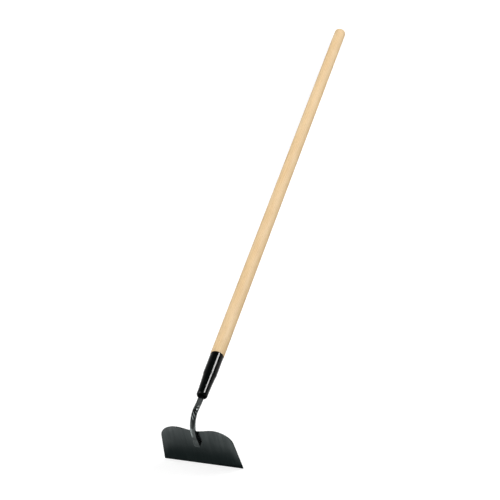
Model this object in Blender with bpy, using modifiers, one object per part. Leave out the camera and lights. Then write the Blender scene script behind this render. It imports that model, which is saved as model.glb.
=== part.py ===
"""Garden hoe: wooden handle, steel ferrule, bent neck and welded blade.

Every piece is modelled in the handle's own frame. The handle's axis is Y, with
y = 0 at the ferrule's rim, the butt towards +Y and the blade below the axis at -Y.
An empty then tilts the whole tool, so that it lies on the floor as it would be put
down: on its cutting edge and on the butt of its handle. Lengths are in metres.
"""

import math

import bmesh
import bpy
from mathutils import Matrix, Vector

# Shared clearance between touching pieces
SEAT_GAP = 0.0003

# Handle
HANDLE_LENGTH = 1.2192
HANDLE_DIAMETER = 0.0274
BUTT_ROUNDING = 0.0060
BUTT_CROWN = 0.0012
SPIGOT_CHAMFER = 0.0012
SHOULDER_ROUNDING = 0.0004

# Ferrule
FERRULE_LENGTH = 0.1040
FERRULE_DIAMETER = 0.0264
FERRULE_WALL = 0.0012
FERRULE_BARREL = 0.0470
FERRULE_STEP = 0.0100
FERRULE_WAIST_DIAMETER = 0.0244
FERRULE_NOSE_DIAMETER = 0.0213
FERRULE_HOLLOW = 0.35
FERRULE_NOSE_BAND = 0.0073
NOSE_ROUNDING = 0.0042
NOSE_CLEARANCE = 0.0026

# Ferrule nail, on the underside near the rim
NAIL_FROM_RIM = 0.0085
NAIL_DIAMETER = 0.0024
NAIL_LENGTH = 0.0105
NAIL_POINT = 0.0025
NAIL_HEAD_DIAMETER = 0.0052
NAIL_HEAD_HEIGHT = 0.0011
NAIL_CROWN_WIDTH = 0.62
NAIL_CROWN_HEIGHT = 0.86
NAIL_BROW_WIDTH = 0.92
NAIL_BROW_HEIGHT = 0.48

# Blade
BLADE_WIDTH = 0.1590
BLADE_HEIGHT = 0.1071
BLADE_SADDLE_DIP = 0.0067
BLADE_SIDE_SLOPE = 0.1050
BLADE_SHOULDER_RADIUS = 0.0349
BLADE_CORNER_RADIUS = 0.0022
BLADE_THICKNESS = 0.0018
BLADE_ANGLE = math.radians(91.5)
GRIND_HEIGHT = 0.0034
EDGE_LAND = 0.0005

# Where the blade hangs: behind the ferrule's mouth, and below the handle's axis
BLADE_REACH = 0.0575
BLADE_DROP = 0.1303

# Neck, a round rod with a tang at one end and a flattened foot at the other
NECK_DIAMETER = 0.0085
TANG_LENGTH = 0.0800
TANG_TIP_DIAMETER = 0.0046
TANG_POINT = 0.0060
TANG_POINT_DIAMETER = 0.0012
FOOT_FROM_EDGE = 0.0608
FOOT_WIDTH = 0.0122
FOOT_TIP_WIDTH = 0.0080
FOOT_TIP_ROUNDING = 0.0065
FOOT_TIP_THICKNESS = 0.0056
FOOT_SQUARENESS = 0.45
FOOT_SEAT = 0.0180
FOOT_TAPER = 0.0180
FOOT_SPREAD = 0.0400
NECK_STANDOFF = 0.0012
NECK_RISE = 0.0200
NECK_BEND_RADIUS = 0.0285
NECK_HUMP_ANGLE = math.radians(9.0)
NECK_HUMP_RUN = 0.0155
NECK_HUMP_RADIUS = 0.0370

# Weld beads, one on each side of the foot
WELD_START = 0.0065
WELD_LENGTH = 0.0100
WELD_LEG = 0.0024
WELD_END_LEG = 0.0010
WELD_ROOT_ANGLES = (-20.0, -40.0, -58.0)
WELD_FACE = ((1.0, 0.0), (0.72, 0.40), (0.36, 0.64))

# Smoothness of the solids
TURN_STEPS = 48
NAIL_STEPS = 20
ROD_SIDES = 20
STEP_STEPS = 5
TAPER_STEPS = 4
DOME_STEPS = 8
BUTT_STEPS = 7
CORNER_STEPS = 4
SHOULDER_STEPS = 14
SADDLE_STEPS = 12
FOOT_STEPS = 19
WELD_STEPS = 8
BEND_STEP = math.radians(7.5)
MERGE_DISTANCE = 0.00001
SMOOTH_ANGLE = math.radians(35.0)

HANDLE_RADIUS = HANDLE_DIAMETER / 2
FERRULE_RADIUS = FERRULE_DIAMETER / 2
NECK_RADIUS = NECK_DIAMETER / 2
MOUTH_RADIUS = NECK_RADIUS + SEAT_GAP
SPIGOT_END = -(FERRULE_LENGTH - NOSE_ROUNDING - NOSE_CLEARANCE)
HANDLE_TOP = HANDLE_LENGTH + SPIGOT_END
TANG_END = SPIGOT_END + TANG_LENGTH


def clear_scene():
    """Empty the scene that the script runs in."""
    for thing in list(bpy.data.objects):
        bpy.data.objects.remove(thing, do_unlink=True)


def new_collection(name):
    """Add a collection to the scene."""
    group = bpy.data.collections.new(name)
    bpy.context.scene.collection.children.link(group)
    return group


def new_material(name, colour, roughness, metallic):
    """A Principled material of one colour."""
    material = bpy.data.materials.new(name)
    material.use_nodes = True
    shader = material.node_tree.nodes["Principled BSDF"]
    shader.inputs["Base Color"].default_value = (*colour, 1.0)
    shader.inputs["Roughness"].default_value = roughness
    shader.inputs["Metallic"].default_value = metallic
    material.diffuse_color = (*colour, 1.0)
    return material


def place(thing, group, parent, material):
    """Link an object, hang it on its parent and give it its material."""
    group.objects.link(thing)
    thing.parent = parent
    if material is not None:
        thing.data.materials.append(material)


def shade(mesh):
    """Smooth shading that keeps the real edges sharp."""
    mesh.shade_smooth()
    mesh.set_sharp_from_angle(angle=SMOOTH_ANGLE)


def arc(centre, radius, start, end, steps):
    """Points of an arc, both ends included, as (x, y) pairs."""
    points = []
    for step in range(steps + 1):
        angle = start + (end - start) * step / steps
        points.append((centre[0] + radius * math.cos(angle), centre[1] + radius * math.sin(angle)))
    return points


def ease(share):
    """A smooth rise from 0 to 1."""
    share = max(0.0, min(1.0, share))
    return share * share * (3.0 - 2.0 * share)


def turned(name, profile, closed, steps):
    """A solid turned about its local Z from (radius, height) points."""
    mesh = bpy.data.meshes.new(name)
    edges = [(index, index + 1) for index in range(len(profile) - 1)]
    if closed:
        edges.append((len(profile) - 1, 0))
    mesh.from_pydata([(radius, 0.0, height) for radius, height in profile], edges, [])
    thing = bpy.data.objects.new(name, mesh)
    screw = thing.modifiers.new("turn", "SCREW")
    screw.steps = steps
    screw.render_steps = steps
    screw.use_merge_vertices = True
    screw.merge_threshold = MERGE_DISTANCE
    screw.use_smooth_shade = True
    return thing


def cut(thing, cutter):
    """Cut a hole with another object."""
    boolean = thing.modifiers.new("cut_" + cutter.name, "BOOLEAN")
    boolean.operation = "DIFFERENCE"
    boolean.solver = "EXACT"
    boolean.object = cutter


def lay_along_axis(thing):
    """Turn a solid's local Z to the handle's axis."""
    thing.rotation_euler = (math.radians(-90.0), 0.0, 0.0)


def ease_down(start, end):
    """A smooth step in radius between two heights, both ends included."""
    points = []
    for step in range(STEP_STEPS + 1):
        share = step / STEP_STEPS
        radius = start[0] + (end[0] - start[0]) * ease(share)
        points.append((radius, start[1] + (end[1] - start[1]) * share))
    return points


def ferrule_outline(inset):
    """Half section of the ferrule from rim to mouth, moved inwards by inset."""
    rim = FERRULE_RADIUS - inset
    waist = FERRULE_WAIST_DIAMETER / 2 - inset
    nose = FERRULE_NOSE_DIAMETER / 2 - inset
    waist_height = -(FERRULE_BARREL + FERRULE_STEP)
    dome_height = -(FERRULE_LENGTH - NOSE_ROUNDING)
    points = [(rim, 0.0)]
    points += ease_down((rim, -FERRULE_BARREL), (waist, waist_height))
    taper = dome_height + FERRULE_NOSE_BAND - waist_height
    for step in range(1, TAPER_STEPS + 1):
        share = step / TAPER_STEPS
        blend = share * (1.0 + FERRULE_HOLLOW * (1.0 - share))
        points.append((waist + (nose - waist) * blend, waist_height + taper * share))
    dome_radius = NOSE_ROUNDING - inset
    dome_centre = (FERRULE_NOSE_DIAMETER / 2 - NOSE_ROUNDING, dome_height)
    mouth_angle = math.acos(max(-1.0, min(1.0, (MOUTH_RADIUS - dome_centre[0]) / dome_radius)))
    points += arc(dome_centre, dome_radius, 0.0, -mouth_angle, DOME_STEPS)
    return points


def make_ferrule(group, parent, material):
    """Drawn steel sleeve, closed down to the neck at its nose."""
    outer = ferrule_outline(0.0)
    inner = ferrule_outline(FERRULE_WALL)
    thing = turned("ferrule", outer + inner[::-1], True, TURN_STEPS)
    lay_along_axis(thing)
    place(thing, group, parent, material)
    return thing


def tang_radius(height):
    """Radius of the neck's tang at a height along the handle's axis."""
    share = (height - SPIGOT_END) / TANG_LENGTH
    share = max(0.0, min(1.0, share))
    return NECK_RADIUS + (TANG_TIP_DIAMETER / 2 - NECK_RADIUS) * share


def make_handle(group, parent, material):
    """Turned wooden handle, with a spigot for the ferrule and a bore for the tang."""
    butt_edge = (HANDLE_RADIUS - BUTT_ROUNDING, HANDLE_TOP - BUTT_CROWN - BUTT_ROUNDING)
    profile = [(0.0, HANDLE_TOP)]
    profile += arc(butt_edge, BUTT_ROUNDING, math.radians(90.0), 0.0, BUTT_STEPS)
    shoulder = (HANDLE_RADIUS - SHOULDER_ROUNDING, SEAT_GAP + SHOULDER_ROUNDING)
    profile += arc(shoulder, SHOULDER_ROUNDING, 0.0, math.radians(-90.0), 3)
    spigot = [point for point in ferrule_outline(FERRULE_WALL + SEAT_GAP) if point[1] > SPIGOT_END]
    profile.append((spigot[0][0], SEAT_GAP))
    profile += spigot[1:]
    end_radius = profile[-1][0]
    profile[-1] = (end_radius, max(profile[-1][1], SPIGOT_END + SPIGOT_CHAMFER))
    profile.append((end_radius - SPIGOT_CHAMFER, SPIGOT_END))
    profile.append((tang_radius(SPIGOT_END) + SEAT_GAP, SPIGOT_END))
    point_start = TANG_END - TANG_POINT
    profile.append((tang_radius(point_start) + SEAT_GAP, point_start))
    profile.append((TANG_POINT_DIAMETER / 2 + SEAT_GAP, TANG_END + SEAT_GAP))
    profile.append((0.0, TANG_END + SEAT_GAP))
    thing = turned("handle", profile, False, TURN_STEPS)
    lay_along_axis(thing)
    place(thing, group, parent, material)
    return thing


def make_nail(group, parent, material):
    """Small round-headed nail that holds the ferrule to the wood."""
    head_radius = NAIL_HEAD_DIAMETER / 2
    shank_radius = NAIL_DIAMETER / 2
    seat = FERRULE_RADIUS + SEAT_GAP
    profile = [(0.0, seat + NAIL_HEAD_HEIGHT)]
    profile.append((head_radius * NAIL_CROWN_WIDTH, seat + NAIL_HEAD_HEIGHT * NAIL_CROWN_HEIGHT))
    profile.append((head_radius * NAIL_BROW_WIDTH, seat + NAIL_HEAD_HEIGHT * NAIL_BROW_HEIGHT))
    profile.append((head_radius, seat))
    profile.append((shank_radius, seat))
    profile.append((shank_radius, seat - NAIL_LENGTH + NAIL_POINT))
    profile.append((0.0, seat - NAIL_LENGTH))
    thing = turned("ferrule_nail", profile, False, NAIL_STEPS)
    thing.location = (0.0, -NAIL_FROM_RIM, 0.0)
    thing.rotation_euler = (math.radians(180.0), 0.0, 0.0)
    place(thing, group, parent, material)
    return thing


def nail_hole(group, parent):
    """Cutter for the nail's hole through the ferrule and into the wood."""
    bottom = FERRULE_RADIUS - NAIL_LENGTH - SEAT_GAP
    top = FERRULE_RADIUS + NAIL_LENGTH
    mesh = bpy.data.meshes.new("nail_hole")
    drill = bmesh.new()
    radius = NAIL_DIAMETER / 2 + SEAT_GAP
    bmesh.ops.create_cone(
        drill, cap_ends=True, segments=NAIL_STEPS, radius1=radius, radius2=radius, depth=top - bottom,
        matrix=Matrix.Translation((0.0, 0.0, (top + bottom) / 2)),
    )
    drill.to_mesh(mesh)
    drill.free()
    thing = bpy.data.objects.new("nail_hole", mesh)
    thing.location = (0.0, -NAIL_FROM_RIM, 0.0)
    thing.rotation_euler = (math.radians(180.0), 0.0, 0.0)
    thing.display_type = "WIRE"
    thing.hide_render = True
    place(thing, group, parent, None)
    return thing


def blade_outline():
    """Half outline of the blade, from the cutting edge's middle up to the saddle."""
    lean = math.atan(BLADE_SIDE_SLOPE)
    corner_run = BLADE_CORNER_RADIUS / math.tan((math.pi / 2 - lean) / 2)
    corner = (BLADE_WIDTH / 2 - corner_run, BLADE_CORNER_RADIUS)
    points = arc(corner, BLADE_CORNER_RADIUS, -math.pi / 2, lean, CORNER_STEPS)
    rise = BLADE_HEIGHT - BLADE_SHOULDER_RADIUS
    across = BLADE_WIDTH / 2 - BLADE_SIDE_SLOPE * rise - BLADE_SHOULDER_RADIUS / math.cos(lean)
    points += arc((across, rise), BLADE_SHOULDER_RADIUS, lean, math.pi / 2, SHOULDER_STEPS)
    for step in range(1, SADDLE_STEPS + 1):
        share = step / SADDLE_STEPS
        drop = BLADE_SADDLE_DIP * (1.0 - math.cos(math.pi * share)) / 2
        points.append((across * (1.0 - share), BLADE_HEIGHT - drop))
    return points


def flat_plate(name, outline, thickness):
    """A mesh plate from a flat outline, centred on its own thickness."""
    curve = bpy.data.curves.new(name + "_outline", "CURVE")
    curve.dimensions = "2D"
    curve.fill_mode = "BOTH"
    curve.extrude = thickness / 2
    spline = curve.splines.new("POLY")
    spline.points.add(len(outline) - 1)
    for point, (across, up) in zip(spline.points, outline):
        point.co = (across, up, 0.0, 1.0)
    spline.use_cyclic_u = True
    guide = bpy.data.objects.new(name + "_outline", curve)
    bpy.context.scene.collection.objects.link(guide)
    graph = bpy.context.evaluated_depsgraph_get()
    mesh = bpy.data.meshes.new_from_object(guide.evaluated_get(graph))
    bpy.data.objects.remove(guide, do_unlink=True)
    body = bmesh.new()
    body.from_mesh(mesh)
    bmesh.ops.remove_doubles(body, verts=body.verts, dist=MERGE_DISTANCE)
    bmesh.ops.recalc_face_normals(body, faces=body.faces)
    body.to_mesh(mesh)
    body.free()
    mesh.name = name
    return mesh


def grind_cutter(group, parent):
    """Wedge that grinds the bevel on the outer face along the cutting edge."""
    depth = BLADE_THICKNESS - EDGE_LAND
    slant = math.atan2(depth, GRIND_HEIGHT)
    length = GRIND_HEIGHT * 4
    mesh = bpy.data.meshes.new("edge_grind")
    block = bmesh.new()
    bmesh.ops.create_cube(block, size=1.0)
    bmesh.ops.scale(block, verts=block.verts, vec=(BLADE_WIDTH + length, length, length))
    bmesh.ops.translate(block, verts=block.verts, vec=(0.0, 0.0, length / 2))
    block.to_mesh(mesh)
    block.free()
    thing = bpy.data.objects.new("edge_grind", mesh)
    middle = Vector((0.0, GRIND_HEIGHT / 2, -depth / 2))
    turn = Matrix.Rotation(BLADE_ANGLE, 4, "X")
    start = Matrix.Translation(blade_origin()) @ turn @ Matrix.Translation(middle)
    thing.matrix_local = start @ Matrix.Rotation(slant, 4, "X")
    thing.display_type = "WIRE"
    thing.hide_render = True
    place(thing, group, parent, None)
    return thing


def blade_origin():
    """Middle of the cutting edge on the blade's outer face."""
    return Vector((0.0, -FERRULE_LENGTH - BLADE_REACH, -BLADE_DROP))


def blade_up():
    """Direction from the cutting edge to the blade's top."""
    return Vector((0.0, math.cos(BLADE_ANGLE), math.sin(BLADE_ANGLE)))


def blade_out():
    """Direction out of the blade's outer face, where the neck is welded."""
    return Vector((0.0, -math.sin(BLADE_ANGLE), math.cos(BLADE_ANGLE)))


def make_blade(group, parent, material, cutter):
    """Flat steel blade with rounded shoulders and a ground cutting edge."""
    half = blade_outline()
    mirrored = [(-across, up) for across, up in half[-2::-1]]
    mesh = flat_plate("blade", half + mirrored, BLADE_THICKNESS)
    mesh.transform(Matrix.Translation((0.0, 0.0, -BLADE_THICKNESS / 2)))
    thing = bpy.data.objects.new("blade", mesh)
    thing.rotation_euler = (BLADE_ANGLE, 0.0, 0.0)
    thing.location = blade_origin()
    cut(thing, cutter)
    place(thing, group, parent, material)
    return thing


def bend(path, heading, radius, turn):
    """Add an arc to a path in the tool's middle plane and return the new heading."""
    start = path[-1]
    side = 1.0 if turn > 0 else -1.0
    centre = start + Vector((0.0, -math.sin(heading), math.cos(heading))) * radius * side
    steps = max(2, math.ceil(abs(turn) / BEND_STEP))
    for step in range(1, steps + 1):
        angle = heading + turn * step / steps
        path.append(centre + Vector((0.0, math.sin(angle), -math.cos(angle))) * radius * side)
    return heading + turn


def run(path, heading, length, steps):
    """Add a straight run to a path."""
    start = path[-1]
    for step in range(1, steps + 1):
        path.append(start + Vector((0.0, math.cos(heading), math.sin(heading))) * length * step / steps)


def foot_thickness(up):
    """Thickness of the neck at a distance above its lower end."""
    share = min(1.0, up / FOOT_TAPER)
    return FOOT_TIP_THICKNESS + (NECK_DIAMETER - FOOT_TIP_THICKNESS) * math.sin(share * math.pi / 2)


def foot_lift(up):
    """Height of the neck's underside off the blade, above its seat."""
    return NECK_STANDOFF * ease((up - FOOT_SEAT) / NECK_RISE)


def neck_path():
    """Centre line of the neck, from its foot on the blade to the tang's point."""
    path = []
    for step in range(FOOT_STEPS + 1):
        up = (FOOT_SEAT + NECK_RISE) * step / FOOT_STEPS
        stand = SEAT_GAP + foot_lift(up) + foot_thickness(up) / 2
        path.append(blade_origin() + blade_up() * (FOOT_FROM_EDGE + up) + blade_out() * stand)
    heading = BLADE_ANGLE
    run(path, heading, neck_upright(path[-1], heading), 4)
    heading = bend(path, heading, NECK_BEND_RADIUS, -heading - NECK_HUMP_ANGLE)
    run(path, heading, NECK_HUMP_RUN, 2)
    heading = bend(path, heading, NECK_HUMP_RADIUS, NECK_HUMP_ANGLE)
    path[-1].z = 0.0
    point_start = TANG_END - TANG_POINT
    run(path, 0.0, SPIGOT_END - path[-1].y, 3)
    run(path, 0.0, point_start - SPIGOT_END, 2)
    run(path, 0.0, TANG_POINT, 1)
    return path


def neck_upright(start, heading):
    """Length of the neck's upright run that brings its tang onto the handle's axis."""
    hump = NECK_HUMP_RADIUS * (1.0 - math.cos(NECK_HUMP_ANGLE))
    fall = NECK_HUMP_RUN * math.sin(NECK_HUMP_ANGLE)
    crown = NECK_BEND_RADIUS * (math.cos(NECK_HUMP_ANGLE) - math.cos(heading))
    return (hump + fall - crown - start.z) / math.sin(heading)


def neck_section(distance, height):
    """Half width, half thickness and squareness of the neck at a place on its path."""
    if height > SPIGOT_END:
        radius = tang_radius(height)
        if height > TANG_END - TANG_POINT / 2:
            radius = TANG_POINT_DIAMETER / 2
        return radius, radius, 0.0
    spread = 1.0 - ease(distance / FOOT_SPREAD)
    half_width = NECK_RADIUS + (FOOT_WIDTH / 2 - NECK_RADIUS) * spread
    back = max(0.0, 1.0 - distance / FOOT_TIP_ROUNDING)
    half_width -= (FOOT_WIDTH - FOOT_TIP_WIDTH) / 2 * (1.0 - math.sqrt(1.0 - back ** 2))
    return half_width, foot_thickness(distance) / 2, 1.0 - min(1.0, distance / FOOT_TAPER)


def section_point(half_width, half_thickness, square, angle):
    """A point of the neck's cross section: round, or flattened with soft corners."""
    power = 1.0 - FOOT_SQUARENESS * square
    across = math.copysign(abs(math.cos(angle)) ** power, math.cos(angle))
    out = math.copysign(abs(math.sin(angle)) ** power, math.sin(angle))
    return half_width * across, half_thickness * out


def path_frames(path):
    """Distance, point and outward direction for each point of the neck's path."""
    frames = []
    distance = 0.0
    for index, point in enumerate(path):
        before = path[max(index - 1, 0)]
        after = path[min(index + 1, len(path) - 1)]
        along = (after - before).normalized()
        outward = Vector((1.0, 0.0, 0.0)).cross(along)
        if index:
            distance += (point - before).length
        frames.append((distance, point, outward))
    return frames


def loft(name, rings):
    """A closed solid through rings of points, capped at both ends."""
    mesh = bpy.data.meshes.new(name)
    body = bmesh.new()
    loops = [[body.verts.new(point) for point in ring] for ring in rings]
    for lower, upper in zip(loops, loops[1:]):
        for index in range(len(lower)):
            after = (index + 1) % len(lower)
            body.faces.new((lower[index], lower[after], upper[after], upper[index]))
    body.faces.new(loops[0][::-1])
    body.faces.new(loops[-1])
    bmesh.ops.recalc_face_normals(body, faces=body.faces)
    body.to_mesh(mesh)
    body.free()
    shade(mesh)
    return bpy.data.objects.new(name, mesh)


def make_neck(group, parent, material):
    """Bent rod that joins handle and blade: tang, bends and flattened foot."""
    rings = []
    for distance, point, outward in path_frames(neck_path()):
        size = neck_section(distance, point.y)
        ring = []
        for side in range(ROD_SIDES):
            across, out = section_point(*size, 2 * math.pi * side / ROD_SIDES)
            ring.append(point + Vector((across, 0.0, 0.0)) + outward * out)
        rings.append(ring)
    thing = loft("neck", rings)
    place(thing, group, parent, material)
    return thing


def weld_ring(start, distance, side):
    """Section of a weld bead that fills the corner between the foot and the blade."""
    half_width, half_thickness, square = neck_section(WELD_START + distance, start.y)
    swell = 1.0 - (abs(distance / WELD_LENGTH - 0.5) * 2.0) ** 4
    leg = WELD_END_LEG + (WELD_LEG - WELD_END_LEG) * math.sqrt(max(0.0, swell))
    base = start + blade_up() * distance
    middle = half_thickness + SEAT_GAP
    profile = []
    for angle in WELD_ROOT_ANGLES:
        across, out = section_point(half_width + SEAT_GAP, half_thickness + SEAT_GAP, square,
                                    math.radians(angle))
        profile.append((across, max(out + middle, SEAT_GAP)))
    profile.append((profile[-1][0], SEAT_GAP))
    for across, out in WELD_FACE:
        profile.append((half_width + leg * across, SEAT_GAP + leg * out))
    return [base + Vector((across * side, 0.0, 0.0)) + blade_out() * out for across, out in profile]


def make_weld(name, side, group, parent, material):
    """One fillet weld along the neck's foot."""
    start = blade_origin() + blade_up() * (FOOT_FROM_EDGE + WELD_START)
    rings = [weld_ring(start, WELD_LENGTH * step / WELD_STEPS, side) for step in range(WELD_STEPS + 1)]
    thing = loft(name, rings)
    place(thing, group, parent, material)
    return thing


def floor_slope():
    """Angle between the handle's axis and the floor, both ends of the tool touching."""
    edge = blade_origin() - blade_out() * BLADE_THICKNESS
    butt = Vector((0.0, HANDLE_TOP - BUTT_CROWN - BUTT_ROUNDING, BUTT_ROUNDING - HANDLE_RADIUS))
    span = butt - edge
    return math.atan2(span.z, span.y) - math.asin(BUTT_ROUNDING / span.length)


def set_down(pose, pieces):
    """Tilt the tool onto the floor and centre it over the origin."""
    pose.rotation_euler = (-floor_slope(), 0.0, 0.0)
    bpy.context.view_layer.update()
    graph = bpy.context.evaluated_depsgraph_get()
    corners = []
    for piece in pieces:
        solid = piece.evaluated_get(graph)
        mesh = solid.to_mesh()
        corners += [solid.matrix_world @ vertex.co for vertex in mesh.vertices]
        solid.to_mesh_clear()
    middle = (min(c.y for c in corners) + max(c.y for c in corners)) / 2
    pose.location = (0.0, -middle, -min(c.z for c in corners))
    bpy.context.view_layer.update()


def build():
    """Make every piece of the hoe and set it down."""
    clear_scene()
    parts = new_collection("garden_hoe")
    cutters = new_collection("cutters")
    ash = new_material("pale_ash", (0.80, 0.60, 0.36), 0.50, 0.0)
    gloss = new_material("gloss_black_paint", (0.012, 0.012, 0.013), 0.16, 0.0)
    satin = new_material("satin_black_paint", (0.030, 0.033, 0.033), 0.42, 0.0)
    grey = new_material("dark_neck_paint", (0.045, 0.047, 0.046), 0.35, 0.0)
    steel = new_material("plain_steel", (0.45, 0.45, 0.44), 0.35, 1.0)
    pose = bpy.data.objects.new("hoe_pose", None)
    parts.objects.link(pose)
    hole = nail_hole(cutters, pose)
    handle = make_handle(parts, pose, ash)
    cut(handle, hole)
    ferrule = make_ferrule(parts, pose, gloss)
    cut(ferrule, hole)
    nail = make_nail(parts, pose, steel)
    neck = make_neck(parts, pose, grey)
    blade = make_blade(parts, pose, satin, grind_cutter(cutters, pose))
    welds = [make_weld("weld_left", -1.0, parts, pose, satin),
             make_weld("weld_right", 1.0, parts, pose, satin)]
    set_down(pose, [handle, ferrule, nail, neck, blade] + welds)


build()
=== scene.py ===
"""Garden hoe, dressed: fine shapes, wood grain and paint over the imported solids.

Every piece is modelled in the tool's own frame, where the handle's axis is Y and the
ferrule's rim is at y = 0, and is then laid down on the floor with the same tilt as the
solids. Shapes are in metres. Finishes read places in the same frame in millimetres.
"""

import math

import bmesh
import bpy
from mathutils import Matrix, Vector


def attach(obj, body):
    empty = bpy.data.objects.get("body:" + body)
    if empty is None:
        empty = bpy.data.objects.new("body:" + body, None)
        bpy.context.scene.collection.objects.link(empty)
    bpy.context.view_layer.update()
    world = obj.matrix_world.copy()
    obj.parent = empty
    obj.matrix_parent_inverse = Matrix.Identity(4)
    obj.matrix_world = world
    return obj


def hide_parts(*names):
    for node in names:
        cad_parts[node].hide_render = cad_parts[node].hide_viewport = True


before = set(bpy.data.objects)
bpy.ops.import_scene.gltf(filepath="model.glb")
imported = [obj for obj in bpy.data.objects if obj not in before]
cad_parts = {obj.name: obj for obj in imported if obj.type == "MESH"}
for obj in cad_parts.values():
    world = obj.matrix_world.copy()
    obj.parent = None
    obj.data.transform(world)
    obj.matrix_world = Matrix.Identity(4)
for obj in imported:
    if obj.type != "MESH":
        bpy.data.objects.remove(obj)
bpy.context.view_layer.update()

# How the tool lies: its tilt about X, and where the ferrule's rim comes to
TILT = math.radians(-5.22404)
SET_DOWN = (0.0, -0.4704436, 0.1151711)

# Handle. Stations are (inset, place) at the shoulder and (radius, depth) at the butt.
HANDLE_RADIUS = 0.0137
HANDLE_TOP = 1.1219
HANDLE_STEPS = 12
SHOULDER_PLACE = 0.0003
SHOULDER_ARRIS = ((0.0, 0.0008), (0.00015, 0.00045), (0.0005, SHOULDER_PLACE))
SPIGOT_END = -0.0972
SPIGOT_CHAMFER = 0.0012
BORE_WAIST = (0.00275, -0.0232)
BORE_TIP_RADIUS = 0.0009
BUTT_ROUNDING = 0.0060
BUTT_CROWN = 0.0012
BUTT_STEPS = 12
BUTT_DOME = ((0.0054, 0.00058), (0.0027, 0.00015))

# Ferrule
FERRULE_RADIUS = 0.0132
FERRULE_WAIST = 0.0122
FERRULE_NOSE = 0.01065
FERRULE_WALL = 0.0012
BARREL_SHARES = (0.06, 0.5, 0.95)
BARREL_END = -0.0470
WAIST_PLACE = -0.0570
WAIST_STEPS = 8
NOSE_PLACE = -0.0925
NOSE_STEPS = 10
TAPER_FULLNESS = 0.35
DOME_PLACE = -0.0998
DOME_RADIUS = 0.0042
DOME_STEPS = 16
INNER_DOME_STEPS = 12
MOUTH_RADIUS = 0.00455
MOUTH_OVERRUN = 0.1        # degrees that the inner curl starts past the mouth
LIP_ROUNDING = 0.0004
LIP_CORNER = (0.0001, 0.00012)

# Nail. Stations are (radius, height above the underside of its head).
NAIL_PLACE = -0.0085
NAIL_SIDES = 32
NAIL_HEAD = ((0.0007, 0.00112), (0.0014, 0.00098), (0.0021, 0.00070), (0.0025, 0.00036),
             (0.0026, 0.00012), (0.00252, 0.0))
NAIL_SHANK = ((0.0012, 0.0), (0.0012, -0.0080), (0.0004, -0.0100))

# Neck
ROD_RADIUS = 0.00425
ROD_SIDES = 32
UPRIGHT_STEPS = 3
BEND_RADIUS = 0.0285
BEND_STEPS = 22
HUMP_ANGLE = math.radians(9.0)
HUMP_RUN = 0.0155
HUMP_RUN_STEPS = 3
HUMP_RADIUS = 0.0370
HUMP_STEPS = 6
TANG_END = -0.0172
TANG_TIP_RADIUS = 0.0006
TANG_TAPER_RADIUS = 0.00245
TANG_TAPER = 0.006

# Blade, about the middle of its cutting edge on the outer face
EDGE_PLACE = Vector((0.0, -0.16146, -0.1303))
BLADE_ANGLE = math.radians(91.5)
BLADE_WIDTH = 0.15894
BLADE_HEIGHT = 0.1071
BLADE_THICKNESS = 0.0018
SIDE_SLOPE = 0.1050
SHOULDER_RADIUS = 0.0349
SHOULDER_STEPS = 28
SADDLE_DIP = 0.0067
SADDLE_CUTS = 31
CORNER_ROUNDING = 0.0022
CORNER_STEPS = 8
ARRIS = 0.00022
ARRIS_STEPS = 3
GRIND_HEIGHT = 0.0034
EDGE_LAND = 0.0005

# The neck's foot on the blade, drawn up from its tip in steps
FOOT_PLACE = 0.0608
FOOT_WIDTH = 0.0122
FOOT_TIP_WIDTH = 0.0080
FOOT_TIP_ROUNDING = 0.0065
FOOT_TIP_THICKNESS = 0.0056
FOOT_CORNER = 0.35         # rounding of the foot's long corners, as a share of half its thickness
FOOT_TAPER = 0.0180
FOOT_SPREAD = 0.0400
FOOT_BROW = 0.0007
BROW_SHARE = 0.35
FOOT_LIFT = 0.0012
FOOT_LIFT_START = 0.0180
FOOT_LIFT_RUN = 0.0200
ROUNDING_START = 0.026
ROUNDING_SHARE = 0.25
FOOT_STEPS = (0.0003, 0.0007, 0.0016, 0.0028, 0.0042, 0.0058, 0.0075, 0.0095, 0.0115, 0.0135,
              0.0155, 0.0175, 0.0195, 0.0215, 0.0235, 0.0255, 0.0275, 0.0295, 0.0315, 0.0335,
              0.0355, 0.0380)
SEAT_GAP = 0.0003

# Weld beads beside the foot
WELD_RIPPLES = 9
RIPPLE_STEPS = 3
WELD_LENGTH = 0.0100
WELD_START = 0.0065
WELD_RADIUS = 0.0019
WELD_END_RADIUS = 0.0010
WELD_LEAST_SWELL = 0.04
WELD_RIPPLE = 0.10
WELD_SIDES = 16
WELD_SINK = 0.0006
WELD_BACK = 0.0001

MM = 1000.0                # millimetres in a metre, for the finishes
ROUND_SIDES = 96
SMOOTH_ANGLE = math.radians(32.0)
MERGE_WITHIN = 0.000005

# How near a vertex has to be, to count as on a line, at a middle or an end, and in a ring
HAIR = 0.00001
FINE = 0.0001
SAME_RING = 0.0002

BLADE_UP = Vector((0.0, math.cos(BLADE_ANGLE), math.sin(BLADE_ANGLE)))
BLADE_OUT = Vector((0.0, -math.sin(BLADE_ANGLE), math.cos(BLADE_ANGLE)))


# Modelling helpers

def open_piece(name):
    """Name the new primitive and open it in edit mode, all selected."""
    piece = bpy.context.object
    piece.name = name
    piece.data.name = name
    bpy.ops.object.mode_set(mode="EDIT")
    bpy.ops.mesh.select_mode(type="VERT")
    bpy.ops.mesh.select_all(action="SELECT")
    return piece


def pick(piece, test):
    """Select the vertices whose place passes a test."""
    bpy.ops.mesh.select_mode(type="VERT")
    bpy.ops.mesh.select_all(action="DESELECT")
    body = bmesh.from_edit_mesh(piece.data)
    for vertex in body.verts:
        vertex.select_set(bool(test(vertex.co)))
    body.select_flush(True)
    bmesh.update_edit_mesh(piece.data)


def turn(degrees):
    """Turn what is selected about the X axis."""
    bpy.ops.transform.rotate(value=math.radians(degrees), orient_axis="X",
                             center_override=(0, 0, 0))


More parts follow.
